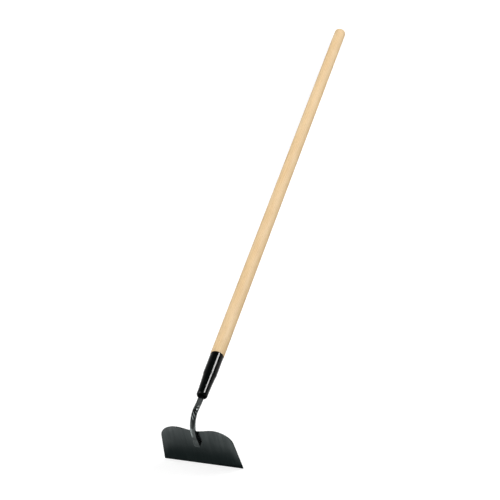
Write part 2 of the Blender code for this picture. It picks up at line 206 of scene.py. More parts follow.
def grow(shift, centre=None, factors=None):
    """Extrude the selected edges by a shift, then scale them about a centre."""
    bpy.ops.mesh.extrude_edges_move(TRANSFORM_OT_translate={"value": tuple(shift)})
    if factors is not None:
        bpy.ops.transform.resize(value=factors, center_override=tuple(centre))


def draw_profile(stations):
    """Extrude the selected ring through (radius, place) stations along the Y axis."""
    radius, place = stations[0]
    for next_radius, next_place in stations[1:]:
        factor = next_radius / radius
        grow((0.0, next_place - place, 0.0), (0.0, next_place, 0.0), (factor, 1.0, factor))
        radius, place = next_radius, next_place


def close_end():
    """Close the selected ring to a point at its middle."""
    bpy.ops.mesh.extrude_edges_move()
    bpy.ops.mesh.merge(type="CENTER")


def add_ring(name, radius, place, sides):
    """Start a turned piece with a ring about the Y axis."""
    bpy.ops.object.select_all(action="DESELECT")
    bpy.ops.mesh.primitive_circle_add(vertices=sides, radius=radius)
    piece = open_piece(name)
    turn(90.0)
    bpy.ops.transform.translate(value=(0.0, place, 0.0))
    return piece


def add_plate(name, width, height):
    """Start a piece with a flat plate about the origin."""
    bpy.ops.object.select_all(action="DESELECT")
    bpy.ops.mesh.primitive_plane_add(size=1.0)
    piece = open_piece(name)
    bpy.ops.transform.resize(value=(width, height, 1.0), center_override=(0, 0, 0))
    return piece


def finish_piece(piece, node, material):
    """Merge, turn faces outwards, lay the piece down with the tool and hand it to the frame."""
    bpy.ops.mesh.select_all(action="SELECT")
    bpy.ops.mesh.remove_doubles(threshold=MERGE_WITHIN)
    bpy.ops.mesh.normals_make_consistent(inside=False)
    bpy.ops.object.mode_set(mode="OBJECT")
    piece.rotation_euler = (TILT, 0.0, 0.0)
    piece.location = SET_DOWN
    bpy.ops.object.transform_apply(location=True, rotation=True, scale=True)
    bpy.ops.object.shade_smooth_by_angle(angle=SMOOTH_ANGLE)
    piece.data.materials.append(material)
    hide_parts(node)
    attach(piece, "root")


def arc_stations(radius, centre, start, end, steps):
    """(radius, place) stations on an arc, from after its start angle to its end angle."""
    stations = []
    for step in range(1, steps + 1):
        angle = math.radians(start + (end - start) * step / steps)
        stations.append((centre[0] + radius * math.cos(angle),
                         centre[1] + radius * math.sin(angle)))
    return stations


def ease(share):
    """A smooth rise from 0 to 1."""
    return share * share * (3.0 - 2.0 * share)


# Node helpers. A pattern is a node's output, or a plain number.

def feed(value, socket):
    """Give an input a pattern, a number, a vector or a colour."""
    if isinstance(value, bpy.types.NodeSocket):
        socket.id_data.links.new(value, socket)
    elif socket.type == "RGBA":
        socket.default_value = (*value, 1.0)
    else:
        socket.default_value = value


def add_node(tree, kind, **settings):
    """Add a node; a setting is one of its inputs by name, or one of its own properties."""
    made = tree.nodes.new("ShaderNode" + kind)
    for key, value in settings.items():
        label = key.replace("_", " ").title()
        if label in made.inputs:
            feed(value, made.inputs[label])
        else:
            setattr(made, key, value)
    return made


def calc(tree, operation, *values):
    """Arithmetic on patterns and numbers."""
    made = add_node(tree, "Math", operation=operation)
    for value, socket in zip(values, made.inputs):
        feed(value, socket)
    return made.outputs["Value"]


def along_axis(tree, vector, axis):
    """How far a vector reaches along an axis."""
    made = add_node(tree, "VectorMath", operation="DOT_PRODUCT")
    feed(vector, made.inputs[0])
    feed(tuple(axis), made.inputs[1])
    return made.outputs["Value"]


def split(tree, vector):
    """A vector's X, Y and Z, by name."""
    return add_node(tree, "SeparateXYZ", vector=vector).outputs


def stretch(tree, place, scale):
    """A place vector scaled on each axis, for a pattern that runs one way."""
    return add_node(tree, "Mapping", vector=place, scale=scale).outputs["Vector"]


def noise(tree, place, scale=1.0, detail=3.0, roughness=0.5, distortion=0.0):
    """A noise pattern on a place vector."""
    return add_node(tree, "TexNoise", vector=place, scale=scale, detail=detail,
                    roughness=roughness, distortion=distortion).outputs["Fac"]


def spread(tree, pattern, given, wanted=(0.0, 1.0)):
    """Map a given range of a pattern to a wanted range, and hold it at both ends."""
    return add_node(tree, "MapRange", value=pattern, from_min=given[0], from_max=given[1],
                    to_min=wanted[0], to_max=wanted[1]).outputs["Result"]


def between(tree, pattern, rise, fall, before=0.0, after=0.0):
    """A share that rises to 1 over one range of a pattern and falls over a later one."""
    return calc(tree, "MULTIPLY", spread(tree, pattern, rise, (before, 1.0)),
                spread(tree, pattern, fall, (1.0, after)))


def blend(tree, share, first, second):
    """Mix two colours by a pattern, from the first at 0 to the second at 1."""
    made = add_node(tree, "Mix", data_type="RGBA")
    for number, value in ((0, share), (6, first), (7, second)):
        feed(value, made.inputs[number])
    return made.outputs[2]


def shade_ramp(tree, share, stops):
    """Colours along a share from 0 to 1, through stops of a place and a colour."""
    made = add_node(tree, "ValToRGB", fac=share)
    elements = made.color_ramp.elements
    while len(elements) < len(stops):
        elements.new(0.5)
    for element, (place, colour) in zip(elements, stops):
        element.position = place
        element.color = (*colour, 1.0)
    return made.outputs["Color"]


def dent(tree, pattern, depth, under=None):
    """Bump from a pattern, in metres, on top of another bump."""
    made = add_node(tree, "Bump", height=pattern, distance=depth, strength=1.0)
    if under is not None:
        feed(under, made.inputs["Normal"])
    return made.outputs["Normal"]


def new_finish(name):
    """A material, its node tree, its shader's inputs and a place vector in mm."""
    material = bpy.data.materials.new(name)
    material.use_nodes = True
    tree = material.node_tree
    place = add_node(tree, "Mapping", vector_type="TEXTURE",
                     vector=add_node(tree, "TexCoord").outputs["Object"],
                     location=SET_DOWN, rotation=(TILT, 0.0, 0.0), scale=(1 / MM, 1 / MM, 1 / MM))
    return material, tree, tree.nodes["Principled BSDF"].inputs, place.outputs["Vector"]


# Finishes

# Ash: the colours of its early and late wood, a paler cast and the open pores
ASH_EARLY = (0.80, 0.580, 0.325)
ASH_LATE = (0.70, 0.475, 0.240)
ASH_PALE = (0.84, 0.640, 0.390)
ASH_PORE = (0.40, 0.235, 0.100)
HEART_PLACE = (34.0, 0.0, -46.0)
HEART_LEAN = (0.40, 0.0, 0.30)
GRAIN_RUN = (1.0, 0.035, 1.0)
CAST_RUN = (0.05, 0.014, 0.05)
PORE_RUN = (3.2, 0.09, 3.2)
PORE_DEPTH = 0.00010
RING_DEPTH = 0.00005
ASH_SHEEN = 0.09
ASH_ROUGH = (0.46, 0.66)
CAST_STRENGTH = 0.55
PORE_STRENGTH = 0.75

# Enamel on the ferrule
ENAMEL_BLACK = (0.0020, 0.0027, 0.0028)
ENAMEL_RUBBED = (0.0060, 0.0066, 0.0066)
ENAMEL_SHEEN = 0.06
ENAMEL_ROUGH = (0.04, 0.12)
ENAMEL_PEEL = 0.000010
ENAMEL_SCRATCH = 0.000006
SCRATCH_RUN = (3.0, 0.25, 3.0)

# Blackened steel from the cutting edge up, over a height in mm that its flanks stretch
# Its shades are painted reflection and shade: darker towards the cutting edge, lighter up high
STEEL_REFLECTION_SHADES = ((0.00, (0.0010, 0.0022, 0.0022)), (0.045, (0.0074, 0.0108, 0.0108)),
                (0.20, (0.0072, 0.0106, 0.0106)), (0.27, (0.0102, 0.0138, 0.0138)),
                (0.35, (0.0168, 0.0208, 0.0208)), (0.50, (0.0360, 0.0420, 0.0420)),
                (0.60, (0.0495, 0.0565, 0.0565)), (0.73, (0.0600, 0.0680, 0.0680)),
                (0.82, (0.0680, 0.0760, 0.0760)), (1.00, (0.1180, 0.1260, 0.1260)))
STEEL_REACH = 130.0
STEEL_LEAN = -0.05
STEEL_WANDER = (-6.0, 6.0)
FLANK = 75.0
FLANK_STRETCH = 0.46
FLANK_PIVOT = 22.0
# Painted sheen, lighter along the blade's sides
STEEL_SIDE_SHEEN = (0.090, 0.098, 0.098)
STEEL_STROKE = (0.025, 0.031, 0.031)
STEEL_BAND = (0.011, 0.0155, 0.0155)
STEEL_SHEARED = (0.0200, 0.0235, 0.0235)
STEEL_TINT = (0.50, 0.50, 0.50)
STEEL_ROUGH = (0.10, 0.22)
SHEARED_ROUGH = 0.55
SIDE_SHEEN_STRENGTH = 0.42
STROKE_STRENGTH = 0.34
BAND_STRENGTH = 0.32
# Where the painted sheen lies: how far in from the sides, and over what heights
SIDE_SHEEN_REACH = 14.0
SIDE_SHEEN_HEIGHT = (14.0, 40.0)
STROKE_RUN = (0.55, 0.02, 0.02)
BAND_RUN = (0.15, 0.008, 0.008)
SHEAR_MARGIN = (0.02, 0.12)
STEEL_SPECK = 0.000010
STEEL_LINE = 0.000030
STEEL_WAVE = 0.00030

# Paint on the welds
WELD_DARK = (0.004, 0.005, 0.005)
WELD_PALE = (0.012, 0.014, 0.014)
WELD_ROUGH = (0.25, 0.45)
WELD_SPECK = 0.00006

# Neck paint from the foot's tip up the rod to the ferrule's enamel. A way along the rod is
# its height in mm, and over the bend its run towards the ferrule is added to that.
# Its shades are painted reflection and shade, lighter and darker along the rod
NECK_REFLECTION_SHADES = ((0.00, (0.022, 0.024, 0.024)), (0.08, (0.038, 0.042, 0.042)),
               (0.15, (0.061, 0.068, 0.067)), (0.20, (0.074, 0.082, 0.081)),
               (0.25, (0.049, 0.054, 0.053)), (0.29, (0.056, 0.062, 0.061)),
               (0.35, (0.103, 0.114, 0.113)), (0.46, (0.104, 0.116, 0.115)),
               (0.52, (0.112, 0.124, 0.123)), (0.56, (0.072, 0.080, 0.079)),
               (0.60, (0.029, 0.032, 0.032)), (0.70, (0.023, 0.025, 0.025)),
               (0.79, (0.029, 0.032, 0.032)), (0.84, (0.036, 0.040, 0.040)))
NECK_WAY = (-70.0, 45.0)
NECK_TURN = 150.0
NECK_WANDER = (-2.5, 2.5)
NECK_FLECK = (0.075, 0.083, 0.082)
NECK_PATCH = (0.034, 0.038, 0.038)
NECK_TINT = (0.58, 0.60, 0.60)
NECK_SHEEN = 0.15
NECK_ROUGH = (0.10, 0.20)
MATT_ROUGH = 0.75
FLECK_STRENGTH = 0.35
PATCH_STRENGTH = 0.50
PATCH_RUN = (0.34, 0.22, 0.16)
# Painted highlight on the rod's left side and painted shade on its right, between two heights
LIT_SIDE_RISE = (-37.0, -31.0)
LIT_SIDE_FALL = (-3.0, 3.0)
LIT_SIDE_ACROSS = (-4.0, 0.6)
LIT_SIDE_GAIN = (2.9, -0.25)
# Black next to the ferrule's mouth
MOUTH_BLACK = (0.0010, 0.0010, 0.0012)
MOUTH_BLACK_EDGE = (-111.0, -110.2)
MOUTH_BLACK_WANDER = 2.0
MARKS_SLANT = (0.0, 0.0, math.radians(54.0))
MARKS_RISE = (-3.0, 4.0)
MARKS_FALL = (20.0, 28.0)
MARKS_DEPTH = 0.00028
NECK_SPECK = 0.00003
MATT_WAY = (24.0, 28.0)
BARE_WAY = (12.0, 27.0)

# Bare steel of the nail
NAIL_DARK = (0.40, 0.40, 0.39)
NAIL_PALE = (0.52, 0.51, 0.49)
NAIL_ROUGH = (0.26, 0.42)
BRUSH_RUN = (6.0, 1.0, 6.0)
BRUSH_DEPTH = 0.00002


def ash_wood():
    """Pale ash: growth rings about a heart outside the pole, fine pores along the grain."""
    material, tree, inputs, place = new_finish("pale_ash")
    heart = add_node(tree, "Mapping", vector=place, location=HEART_PLACE, rotation=HEART_LEAN,
                     scale=GRAIN_RUN)
    rings = add_node(tree, "TexWave", wave_type="RINGS", rings_direction="Y", wave_profile="SAW",
                     vector=heart.outputs["Vector"], scale=0.105, distortion=7.0, detail=3.0,
                     detail_scale=0.8).outputs["Fac"]
    tone = blend(tree, spread(tree, rings, (0.35, 1.0)), ASH_EARLY, ASH_LATE)
    slow = noise(tree, stretch(tree, place, CAST_RUN))
    cast = blend(tree, spread(tree, slow, (0.30, 0.70), (0.0, CAST_STRENGTH)), tone, ASH_PALE)
    pores = noise(tree, stretch(tree, place, PORE_RUN), detail=4.0, roughness=0.65)
    open_pores = calc(tree, "MULTIPLY", spread(tree, pores, (0.53, 0.66), (0.0, PORE_STRENGTH)),
                      spread(tree, rings, (0.10, 0.50), (1.0, 0.20)))
    feed(blend(tree, open_pores, cast, ASH_PORE), inputs["Base Color"])
    feed(spread(tree, pores, (0.30, 0.75), ASH_ROUGH), inputs["Roughness"])
    grain = dent(tree, pores, PORE_DEPTH)
    feed(dent(tree, rings, RING_DEPTH, grain), inputs["Normal"])
    inputs["Specular IOR Level"].default_value = ASH_SHEEN
    return material


def gloss_enamel():
    """Gloss black enamel with a trace of orange peel and a few rubbed places."""
    material, tree, inputs, place = new_finish("gloss_black_paint")
    cloud = noise(tree, place, scale=0.09, detail=4.0, roughness=0.6)
    feed(spread(tree, cloud, (0.45, 0.75), ENAMEL_ROUGH), inputs["Roughness"])
    wear_and_sheen = spread(tree, cloud, (0.50, 0.80))
    feed(blend(tree, wear_and_sheen, ENAMEL_BLACK, ENAMEL_RUBBED), inputs["Base Color"])
    peel = dent(tree, noise(tree, place, scale=0.55, detail=1.0), ENAMEL_PEEL)
    scratches = noise(tree, stretch(tree, place, SCRATCH_RUN), detail=5.0, roughness=0.7)
    feed(dent(tree, scratches, ENAMEL_SCRATCH, peel), inputs["Normal"])
    inputs["Specular IOR Level"].default_value = ENAMEL_SHEEN
    return material


def steel_reflection_level(tree, place, sideways, height, across):
    """How far up its painted reflection ramp the steel is, with flanks that stretch it and a
    wander.
    """
    flank = spread(tree, calc(tree, "POWER", across, 2.0), (0.0, FLANK ** 2), (0.0, FLANK_STRETCH))
    above = calc(tree, "SUBTRACT", height, FLANK_PIVOT)
    stretched = calc(tree, "MULTIPLY_ADD", above, flank, height)
    cloud = noise(tree, place, scale=0.030, detail=5.0, roughness=0.6, distortion=0.4)
    wander = spread(tree, cloud, (0.2, 0.8), STEEL_WANDER)
    lean = calc(tree, "MULTIPLY_ADD", sideways, STEEL_LEAN, wander)
    return calc(tree, "ADD", stretched, lean)


def black_steel():
    """Blackened sheet steel: painted shade low down, painted sheen at its sides, matt where
    sheared.
    """
    material, tree, inputs, place = new_finish("satin_black_paint")
    parts = split(tree, place)
    height = calc(tree, "SUBTRACT", parts["Z"], EDGE_PLACE.z * MM)
    across = calc(tree, "ABSOLUTE", parts["X"])
    # Painted reflection and shade: darker towards the cutting edge, lighter up high, stretched on
    # the flanks
    level = steel_reflection_level(tree, place, parts["X"], height, across)
    shades = shade_ramp(tree, spread(tree, level, (0.0, STEEL_REACH)), STEEL_REFLECTION_SHADES)
    # Painted sheen, lighter along the sides above the lowest part
    side = calc(tree, "MULTIPLY_ADD", height, SIDE_SLOPE, across)
    half = BLADE_WIDTH / 2 * MM
    side_sheen = calc(tree, "MULTIPLY", spread(tree, side, (half - SIDE_SHEEN_REACH, half), (0.0, SIDE_SHEEN_STRENGTH)),
               spread(tree, height, SIDE_SHEEN_HEIGHT))
    wear_and_sheen = blend(tree, side_sheen, shades, STEEL_SIDE_SHEEN)
    strokes = noise(tree, stretch(tree, place, STROKE_RUN), detail=5.0, roughness=0.7)
    stroke_share = spread(tree, strokes, (0.35, 0.65), (0.0, STROKE_STRENGTH))
    wiped = blend(tree, stroke_share, wear_and_sheen, STEEL_STROKE)
    bands = noise(tree, stretch(tree, place, BAND_RUN), detail=3.0, roughness=0.65)
    band_share = spread(tree, bands, (0.40, 0.66), (0.0, BAND_STRENGTH))
    banded = blend(tree, band_share, wiped, STEEL_BAND)
    depth = along_axis(tree, place, -BLADE_OUT)
    front = -EDGE_PLACE.dot(BLADE_OUT) * MM
    back = front + BLADE_THICKNESS * MM
    near, far = SHEAR_MARGIN
    sheared = between(tree, depth, (front + near, front + far), (back - far, back - near))
    feed(blend(tree, sheared, banded, STEEL_SHEARED), inputs["Base Color"])
    inputs["Metallic"].default_value = 1.0
    inputs["Specular Tint"].default_value = (*STEEL_TINT, 1.0)
    rough = spread(tree, strokes, (0.30, 0.70), STEEL_ROUGH)
    torn = spread(tree, sheared, (0.0, 1.0), (0.0, SHEARED_ROUGH))
    feed(calc(tree, "MAXIMUM", rough, torn), inputs["Roughness"])
    speck = dent(tree, noise(tree, place, scale=1.1, detail=4.0, roughness=0.7), STEEL_SPECK)
    lines = dent(tree, strokes, STEEL_LINE, speck)
    wave = dent(tree, noise(tree, place, scale=0.018, detail=1.0), STEEL_WAVE, lines)
    feed(wave, inputs["Normal"])
    return material


def weld_paint():
    """Black paint brushed over the welds."""
    material, tree, inputs, place = new_finish("satin_black_paint_weld")
    speck = noise(tree, place, scale=0.7, detail=4.0, roughness=0.7)
    feed(blend(tree, spread(tree, speck, (0.35, 0.70)), WELD_DARK, WELD_PALE),
         inputs["Base Color"])
    feed(spread(tree, speck, (0.3, 0.75), WELD_ROUGH), inputs["Roughness"])
    inputs["Metallic"].default_value = 1.0
    feed(dent(tree, speck, WELD_SPECK), inputs["Normal"])
    return material


def die_marks(tree, place, way):
    """Slanting marks that the dies pressed into the rod where it was bent."""
    slant = add_node(tree, "Mapping", vector=place, rotation=MARKS_SLANT, scale=(1.0, 1.0, 0.7))
    marks = add_node(tree, "TexWave", wave_type="BANDS", bands_direction="Y",
                     vector=slant.outputs["Vector"], scale=0.070, distortion=1.0, detail=2.0,
                     detail_scale=0.8)
    bent = between(tree, way, MARKS_RISE, MARKS_FALL, before=0.10, after=0.12)
    return calc(tree, "MULTIPLY", marks.outputs["Fac"], bent)


def neck_paint():
    """Thin dark paint on a bent rod, die marked; painted highlight left, painted shade on the bend.
    """
    material, tree, inputs, place = new_finish("dark_neck_paint")
    parts = split(tree, place)
    run = calc(tree, "MAXIMUM", calc(tree, "ADD", parts["Y"], NECK_TURN), 0.0)
    way = calc(tree, "ADD", parts["Z"], run)
    cloud = noise(tree, place, scale=0.16, detail=4.0, roughness=0.6)
    loose = calc(tree, "ADD", way, spread(tree, cloud, (0.25, 0.75), NECK_WANDER))
    # Painted reflection and shade along the rod
    shades = shade_ramp(tree, spread(tree, loose, NECK_WAY), NECK_REFLECTION_SHADES)
    flecks = noise(tree, place, scale=0.9, detail=4.0, roughness=0.7)
    fleck_share = spread(tree, flecks, (0.45, 0.75), (0.0, FLECK_STRENGTH))
    flecked = blend(tree, fleck_share, shades, NECK_FLECK)
    patches = noise(tree, stretch(tree, place, PATCH_RUN), detail=3.0, roughness=0.6)
    patch_share = spread(tree, patches, (0.42, 0.66), (0.0, PATCH_STRENGTH))
    paint = blend(tree, patch_share, flecked, NECK_PATCH)
    # Painted highlight on the left side, painted shade on the right
    lit_side = between(tree, way, LIT_SIDE_RISE, LIT_SIDE_FALL)
    gain = calc(tree, "MULTIPLY_ADD", spread(tree, parts["X"], LIT_SIDE_ACROSS, LIT_SIDE_GAIN),
                lit_side, 1.0)
    wear_and_sheen = add_node(tree, "VectorMath", operation="SCALE", scale=gain)
    feed(paint, wear_and_sheen.inputs[0])
    # Black next to the ferrule's mouth, reflecting almost nothing
    edge = calc(tree, "MULTIPLY_ADD", cloud, MOUTH_BLACK_WANDER, parts["Y"])
    mouth_black = spread(tree, edge, MOUTH_BLACK_EDGE)
    feed(blend(tree, mouth_black, wear_and_sheen.outputs["Vector"], MOUTH_BLACK), inputs["Base Color"])
    rough = spread(tree, cloud, (0.30, 0.75), NECK_ROUGH)
    matt = spread(tree, way, MATT_WAY, (0.0, MATT_ROUGH))
    feed(calc(tree, "MAXIMUM", rough, matt), inputs["Roughness"])
    bare = spread(tree, way, BARE_WAY, (1.0, 0.0))
    feed(calc(tree, "MAXIMUM", bare, mouth_black), inputs["Metallic"])
    inputs["Specular Tint"].default_value = (*NECK_TINT, 1.0)
    inputs["Specular IOR Level"].default_value = NECK_SHEEN
    speck = dent(tree, flecks, NECK_SPECK)
    feed(dent(tree, die_marks(tree, place, way), MARKS_DEPTH, speck), inputs["Normal"])
    return material


def bright_steel():
    """Bare steel of the nail, lightly brushed."""
    material, tree, inputs, place = new_finish("plain_steel")
    brush = noise(tree, stretch(tree, place, BRUSH_RUN), detail=4.0)
    feed(blend(tree, spread(tree, brush, (0.3, 0.7)), NAIL_DARK, NAIL_PALE),
         inputs["Base Color"])
    feed(spread(tree, brush, (0.3, 0.7), NAIL_ROUGH), inputs["Roughness"])
    feed(dent(tree, brush, BRUSH_DEPTH), inputs["Normal"])
    inputs["Metallic"].default_value = 1.0
    return material


# Pieces

def ferrule_line(inset):
    """(radius, place) stations of the ferrule from its barrel to its nose, moved inwards."""
    stations = []
    for step in range(WAIST_STEPS + 1):
        share = step / WAIST_STEPS
        radius = FERRULE_RADIUS + (FERRULE_WAIST - FERRULE_RADIUS) * ease(share)
        stations.append((radius - inset, BARREL_END + (WAIST_PLACE - BARREL_END) * share))
    for step in range(1, NOSE_STEPS + 1):
        share = step / NOSE_STEPS
        fullness = share * (1.0 + TAPER_FULLNESS * (1.0 - share))
        radius = FERRULE_WAIST + (FERRULE_NOSE - FERRULE_WAIST) * fullness
        stations.append((radius - inset, WAIST_PLACE + (NOSE_PLACE - WAIST_PLACE) * share))
    return stations


def make_handle(material):
    """Turned pole: rounded butt, long body, shoulder, spigot in the ferrule and tang's bore."""
    arris = [(HANDLE_RADIUS - inset, place) for inset, place in SHOULDER_ARRIS]
    handle = add_ring("ash_handle", *arris[0], ROUND_SIDES)
    butt = (HANDLE_RADIUS - BUTT_ROUNDING, HANDLE_TOP - BUTT_CROWN - BUTT_ROUNDING)
    body = arris[:1]
    body += [(HANDLE_RADIUS, butt[1] * step / HANDLE_STEPS) for step in range(1, HANDLE_STEPS + 1)]
    body += arc_stations(BUTT_ROUNDING, butt, 0.0, 90.0, BUTT_STEPS)
    body += [(radius, HANDLE_TOP - depth) for radius, depth in BUTT_DOME]
    draw_profile(body)
    close_end()
    pick(handle, lambda place: place.y < arris[0][1] + SAME_RING)
    spigot = ferrule_line(FERRULE_WALL + SEAT_GAP)
    neck_end = spigot[-1][0]
    inner = arris + [(spigot[0][0], SHOULDER_PLACE)] + spigot
    inner += [(neck_end, SPIGOT_END + SPIGOT_CHAMFER), (neck_end - SPIGOT_CHAMFER, SPIGOT_END)]
    inner += [(MOUTH_RADIUS, SPIGOT_END), BORE_WAIST, (BORE_TIP_RADIUS, TANG_END + SEAT_GAP)]
    draw_profile(inner)
    close_end()
    finish_piece(handle, "handle", material)


def make_ferrule(material):
    """Drawn sleeve with a rolled rim, stepped and tapered, closed round the neck."""
    ferrule = add_ring("black_ferrule", FERRULE_RADIUS, -LIP_ROUNDING, ROUND_SIDES)
    dome = (FERRULE_NOSE - DOME_RADIUS, DOME_PLACE)
    inner_dome = DOME_RADIUS - FERRULE_WALL
    wall = [(FERRULE_RADIUS, -LIP_ROUNDING), (FERRULE_RADIUS, -2 * LIP_ROUNDING)]
    wall += [(FERRULE_RADIUS, BARREL_END * share) for share in BARREL_SHARES]
    wall += ferrule_line(0.0)
    wall += [(FERRULE_NOSE, DOME_PLACE)]
    curl = math.degrees(math.acos((MOUTH_RADIUS - dome[0]) / DOME_RADIUS))
    inner_curl = math.degrees(math.acos((MOUTH_RADIUS - dome[0]) / inner_dome))
    wall += arc_stations(DOME_RADIUS, dome, 0.0, -curl, DOME_STEPS)
    wall += arc_stations(inner_dome, dome, -inner_curl - MOUTH_OVERRUN, 0.0, INNER_DOME_STEPS)
    wall += ferrule_line(FERRULE_WALL)[::-1]
    bore = FERRULE_RADIUS - FERRULE_WALL
    corner, drop = LIP_CORNER
    wall += [(bore, -LIP_ROUNDING), (bore + corner, -drop), (bore + LIP_ROUNDING, 0.0)]
    wall += [(FERRULE_RADIUS - LIP_ROUNDING, 0.0), (FERRULE_RADIUS - corner, -drop)]
    wall += [(FERRULE_RADIUS, -LIP_ROUNDING)]
    draw_profile(wall)
    finish_piece(ferrule, "ferrule", material)


def make_nail(material):
    """Round-headed nail through the ferrule's underside."""
    seat = FERRULE_RADIUS + SEAT_GAP
    stations = [(radius, seat + height) for radius, height in NAIL_HEAD + NAIL_SHANK]
    nail = add_ring("ferrule_tack", *stations[0], NAIL_SIDES)
    draw_profile(stations)
    close_end()
    pick(nail, lambda place: place.y > stations[0][1] - FINE)
    close_end()
    bpy.ops.mesh.select_all(action="SELECT")
    turn(90.0)
    bpy.ops.transform.translate(value=(0.0, NAIL_PLACE, 0.0))
    finish_piece(nail, "ferrule_nail", material)


def foot_station(up):
    """Half width, half thickness and middle height of the neck's foot above the blade."""
    share = min(1.0, up / FOOT_TAPER)
    tip = FOOT_TIP_THICKNESS / 2
    half_thickness = tip + (ROD_RADIUS - tip) * math.sin(share * math.pi / 2)
    brow = max(0.0, 1.0 - up / FOOT_BROW)
    half_thickness -= FOOT_BROW * BROW_SHARE * (1.0 - math.sqrt(1.0 - brow ** 2))
    spread_share = 1.0 - ease(min(1.0, up / FOOT_SPREAD))
    half_width = ROD_RADIUS + (FOOT_WIDTH / 2 - ROD_RADIUS) * spread_share
    back = max(0.0, 1.0 - up / FOOT_TIP_ROUNDING)
    half_width -= (FOOT_WIDTH - FOOT_TIP_WIDTH) / 2 * (1.0 - math.sqrt(1.0 - back ** 2))
    lift = FOOT_LIFT * ease(max(0.0, min(1.0, (up - FOOT_LIFT_START) / FOOT_LIFT_RUN)))
    return half_width, half_thickness, SEAT_GAP + lift + half_thickness


def make_neck(material):
    """Bent rod: forged foot, upright, crown bend, hump and the tang in the wood."""
    half_width, half_thickness, middle = foot_station(0.0)
    neck = add_plate("bent_neck", half_width * 2, half_thickness * 2)
    bpy.ops.mesh.delete(type="ONLY_FACE")
    bpy.ops.mesh.select_all(action="SELECT")
    bpy.ops.mesh.bevel(offset=half_thickness * FOOT_CORNER, segments=ROD_SIDES // 4 - 1,
                       affect="VERTICES")
    # The foot is drawn up the local Z axis; its outer face looks along -Y
    bpy.ops.transform.translate(value=(0.0, -middle, 0.0))
    before = (half_width, half_thickness, middle, 0.0)
    for up in FOOT_STEPS:
        half_width, half_thickness, middle = foot_station(up)
        grow((0.0, before[2] - middle, up - before[3]), (0.0, -middle, up),
             (half_width / before[0], half_thickness / before[1], 1.0))
        if up > ROUNDING_START:
            bpy.ops.transform.tosphere(value=ROUNDING_SHARE)
        before = (half_width, half_thickness, middle, up)
    bpy.ops.transform.tosphere(value=1.0)
    draw_rod(neck, before[2], before[3])
    finish_piece(neck, "neck", material)


def draw_rod(neck, middle, top):
    """Turn the foot onto the blade, then draw the rod up, over the crown and into the wood."""
    foot = EDGE_PLACE + BLADE_UP * FOOT_PLACE
    bpy.ops.mesh.select_all(action="SELECT")
    turn(90.0 - math.degrees(BLADE_ANGLE))
    bpy.ops.transform.translate(value=tuple(foot))
    start = foot + BLADE_UP * top + BLADE_OUT * middle
    pick(neck, lambda place: abs((place - start).dot(BLADE_UP)) < SAME_RING)
    crown = BEND_RADIUS * (math.cos(HUMP_ANGLE) - math.cos(BLADE_ANGLE))
    hump = HUMP_RADIUS * (1.0 - math.cos(HUMP_ANGLE)) + HUMP_RUN * math.sin(HUMP_ANGLE)
    upright = (hump - crown - start.z) / math.sin(BLADE_ANGLE)
    for _ in range(UPRIGHT_STEPS):
        grow(BLADE_UP * upright / UPRIGHT_STEPS)
    centre = start + BLADE_UP * upright - BLADE_OUT * BEND_RADIUS
    bpy.ops.mesh.spin(steps=BEND_STEPS, angle=BLADE_ANGLE + HUMP_ANGLE, center=tuple(centre),
                      axis=(1, 0, 0))
    run = Vector((0.0, math.cos(HUMP_ANGLE), -math.sin(HUMP_ANGLE)))
    rise = Vector((0.0, math.sin(HUMP_ANGLE), math.cos(HUMP_ANGLE)))
    for _ in range(HUMP_RUN_STEPS):
        grow(run * HUMP_RUN / HUMP_RUN_STEPS)
    dip = centre + rise * BEND_RADIUS + run * HUMP_RUN + rise * HUMP_RADIUS
    bpy.ops.mesh.spin(steps=HUMP_STEPS, angle=HUMP_ANGLE, center=tuple(dip), axis=(-1, 0, 0))
    draw_profile([(ROD_RADIUS, dip.y), (ROD_RADIUS, SPIGOT_END),
                  (TANG_TAPER_RADIUS, TANG_END - TANG_TAPER), (TANG_TIP_RADIUS, TANG_END)])
    bpy.ops.mesh.edge_face_add()
    pick(neck, lambda place: (place - foot).dot(BLADE_UP) < FINE)
    bpy.ops.mesh.edge_face_add()


def make_blade(material):
    """Sheet steel blade: flared sides, round shoulders, saddle, soft arrises and ground edge."""
    blade = add_plate("hoe_blade", BLADE_WIDTH, BLADE_HEIGHT)
    bpy.ops.transform.translate(value=(0.0, BLADE_HEIGHT / 2, 0.0))
    top_width = BLADE_WIDTH - 2 * SIDE_SLOPE * BLADE_HEIGHT
    pick(blade, lambda place: place.y > BLADE_HEIGHT / 2)
    bpy.ops.transform.resize(value=(top_width / BLADE_WIDTH, 1.0, 1.0), center_override=(0, 0, 0))
    lean = math.atan(SIDE_SLOPE)
    shoulder_run = SHOULDER_RADIUS * math.tan((math.pi / 2 - lean) / 2)
    bpy.ops.mesh.bevel(offset=shoulder_run, offset_type="OFFSET", segments=SHOULDER_STEPS,
                       affect="VERTICES")
    press_saddle(blade, top_width / 2 - shoulder_run)
    thicken_blade()
    finish_piece(blade, "blade", material)


def press_saddle(blade, half_saddle):
    """Dip the top between the shoulders, and round the corners of the cutting edge."""
    top = BLADE_HEIGHT - HAIR
    pick(blade, lambda place: place.y > top and abs(place.x) < half_saddle + HAIR)
    bpy.ops.mesh.subdivide(number_cuts=SADDLE_CUTS)
    pick(blade, lambda place: place.y > top and abs(place.x) < FINE)
    bpy.ops.transform.translate(value=(0.0, -SADDLE_DIP, 0.0), use_proportional_edit=True,
                                proportional_edit_falloff="SMOOTH", proportional_size=half_saddle)
    pick(blade, lambda place: place.y < HAIR)
    bpy.ops.mesh.bevel(offset=CORNER_ROUNDING, segments=CORNER_STEPS, affect="VERTICES")


